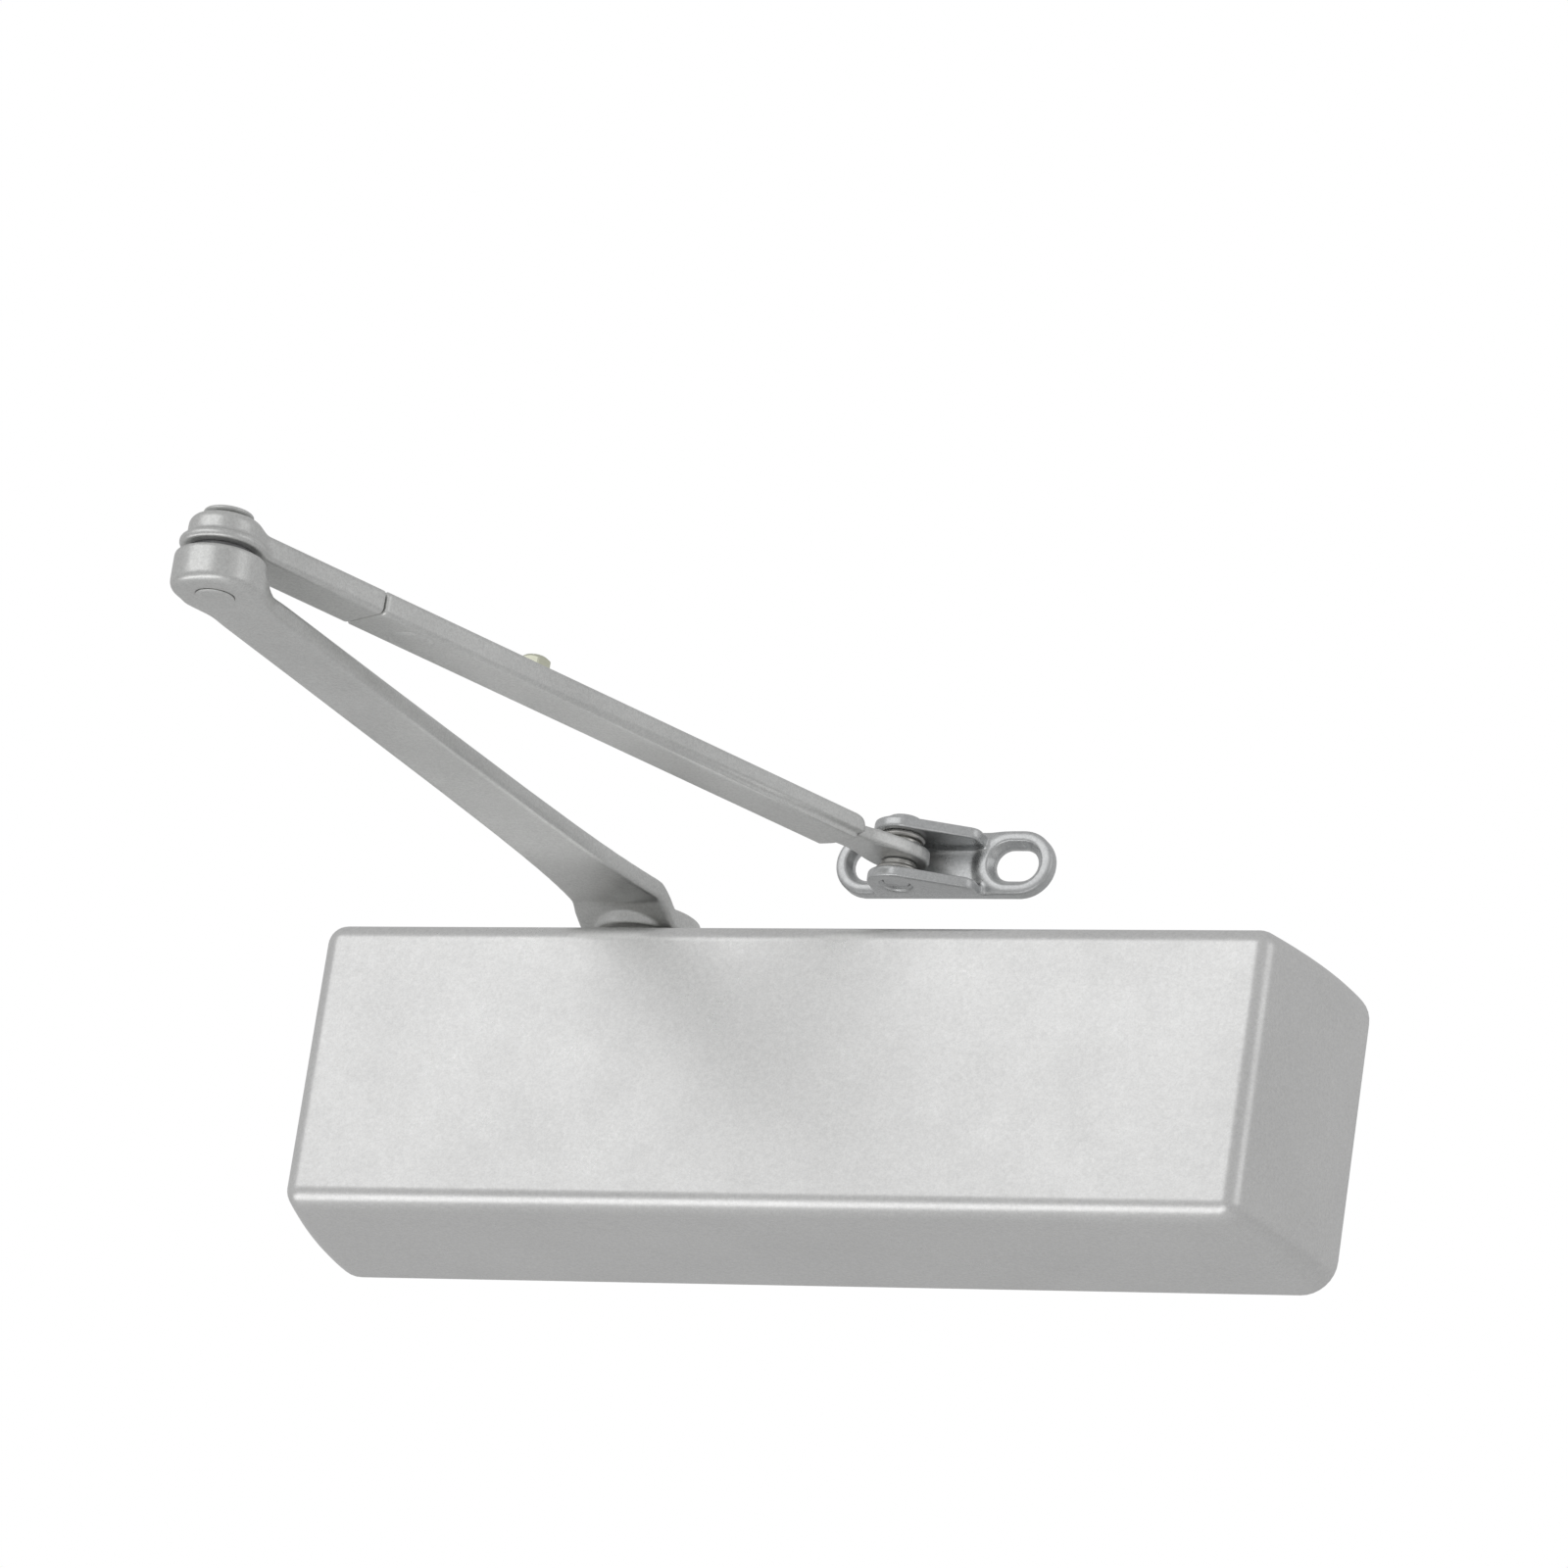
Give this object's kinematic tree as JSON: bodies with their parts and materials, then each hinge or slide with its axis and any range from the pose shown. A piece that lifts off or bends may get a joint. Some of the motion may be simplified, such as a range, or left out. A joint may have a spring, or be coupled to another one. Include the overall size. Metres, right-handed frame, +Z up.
{
  "type": "door closer",
  "caption": "Surface door closer with a full cover, rack and pinion hydraulic body and a regular double lever arm with shoe.",
  "frame": {"origin": "centre of the four-hole mounting pattern on the mounting face", "axes": "+Y into the door, +X along the body with the pinion at -X, +Z up along the pinion axis"},
  "size_m": [0.311, 0.2882, 0.1288],
  "materials": {
    "silver_paint": "satin sprayed aluminium paint",
    "arm_paint": "satin sprayed aluminium paint on forged steel",
    "casting_grey": "painted casting",
    "bright_steel": "machined",
    "dark_steel": "oiled",
    "yellow_zinc": "yellow zinc plate",
    "seal_rubber": "matte"
  },
  "bodies": {
    "closer_body": {"cover": "silver_paint", "cover_screws": "bright_steel", "body_casting": "casting_grey", "left_end_cap": "bright_steel", "right_end_cap": "bright_steel", "left_cap_oring": "seal_rubber", "right_cap_oring": "seal_rubber", "upper_bearing_nut": "bright_steel", "lower_bearing_nut": "bright_steel", "upper_bearing_cup": "bright_steel", "lower_bearing_cup": "bright_steel", "upper_shaft_seal": "seal_rubber", "lower_shaft_seal": "seal_rubber", "valve_orings": "seal_rubber"},
    "pinion_and_arm": {"pinion": "bright_steel", "main_arm": "arm_paint", "arm_washer": "bright_steel", "arm_screw": "bright_steel", "elbow_rivet": "arm_paint", "elbow_washer": "dark_steel"},
    "upper_roller_set": {"upper_needles": "bright_steel"},
    "lower_roller_set": {"lower_needles": "bright_steel"},
    "piston_group": {"piston": "bright_steel", "check_ball_retainer": "bright_steel", "main_spring": "dark_steel"},
    "check_ball_body": {"check_ball": "bright_steel"},
    "adjust_screw_body": {"power_adjust_screw": "dark_steel", "adjust_screw_clip": "dark_steel"},
    "adjust_nut_body": {"spring_adjust_nut": "bright_steel"},
    "sweep_valve_body": {"sweep_valve": "bright_steel"},
    "latch_valve_body": {"latch_valve": "bright_steel"},
    "backcheck_valve_body": {"backcheck_valve": "bright_steel"},
    "forearm": {"forearm_elbow": "arm_paint", "forearm_tube": "arm_paint", "forearm_rivet": "arm_paint"},
    "clamp_screw_body": {"clamp_screw": "yellow_zinc"},
    "rod": {"forearm_rod": "arm_paint"},
    "shoe_body": {"shoe": "arm_paint", "shoe_rivet": "arm_paint", "shoe_washers": "bright_steel"}
  },
  "joints": [
    {"name": "pinion_turn", "type": "hinge", "parent": "closer_body", "child": "pinion_and_arm", "pos_m": [-0.06, -0.027, 0], "axis": [0, 0, 1], "range_deg": [0, 170], "stiffness_Nm_per_rad": 6, "springref_deg": -28.65},
    {"name": "piston_slide", "type": "slide", "parent": "closer_body", "child": "piston_group", "axis": [1, 0, 0], "range_m": [0, 0.027], "deforming": ["main_spring"]},
    {"name": "upper_roller_turn", "type": "hinge", "parent": "closer_body", "child": "upper_roller_set", "pos_m": [-0.06, -0.027, 0], "axis": [0, 0, 1], "range_deg": [0, 72]},
    {"name": "lower_roller_turn", "type": "hinge", "parent": "closer_body", "child": "lower_roller_set", "pos_m": [-0.06, -0.027, 0], "axis": [0, 0, 1], "range_deg": [0, 72]},
    {"name": "check_ball_lift", "type": "slide", "parent": "piston_group", "child": "check_ball_body", "axis": [-1, 0, 0], "range_m": [0, 0.001]},
    {"name": "power_screw_turn", "type": "hinge", "parent": "closer_body", "child": "adjust_screw_body", "pos_m": [0, -0.027, 0], "axis": [1, 0, 0], "range_deg": [0, 3600]},
    {"name": "adjust_nut_slide", "type": "slide", "parent": "closer_body", "child": "adjust_nut_body", "axis": [-1, 0, 0], "range_m": [0, 0.0151]},
    {"name": "sweep_valve_turn", "type": "hinge", "parent": "closer_body", "child": "sweep_valve_body", "pos_m": [-0.098, -0.0525, 0.0245], "axis": [0, -1, 0], "range_deg": [-180, 360]},
    {"name": "latch_valve_turn", "type": "hinge", "parent": "closer_body", "child": "latch_valve_body", "pos_m": [-0.112, -0.0525, 0.0245], "axis": [0, -1, 0], "range_deg": [-180, 360]},
    {"name": "backcheck_valve_turn", "type": "hinge", "parent": "closer_body", "child": "backcheck_valve_body", "pos_m": [-0.034, -0.0525, 0.0245], "axis": [0, -1, 0], "range_deg": [-180, 360]},
    {"name": "elbow_turn", "type": "hinge", "parent": "pinion_and_arm", "child": "forearm", "pos_m": [-0.08494, -0.27555, 0.072], "axis": [0, 0, 1], "range_deg": [-160, 160]},
    {"name": "clamp_screw_turn", "type": "hinge", "parent": "forearm", "child": "clamp_screw_body", "pos_m": [-0.03827, -0.17132, 0.076], "axis": [0, 0, 1], "range_deg": [0, 360]},
    {"name": "forearm_length_slide", "type": "slide", "parent": "forearm", "child": "rod", "axis": [0.4086, 0.9127, 0], "range_m": [-0.003, 0.028]},
    {"name": "shoe_pivot", "type": "hinge", "parent": "rod", "child": "shoe_body", "pos_m": [0.02123, -0.03843, 0.0716], "axis": [0, 0, 1], "range_deg": [-100, 65]}
  ],
  "couplings": [
    {"joint": "piston_slide", "follows": "pinion_turn", "m_per_rad": 0.009},
    {"joint": "upper_roller_turn", "follows": "pinion_turn", "ratio": 0.42105},
    {"joint": "lower_roller_turn", "follows": "pinion_turn", "ratio": 0.42105},
    {"joint": "adjust_nut_slide", "follows": "power_screw_turn", "m_per_rad": 0.00023873}
  ]
}
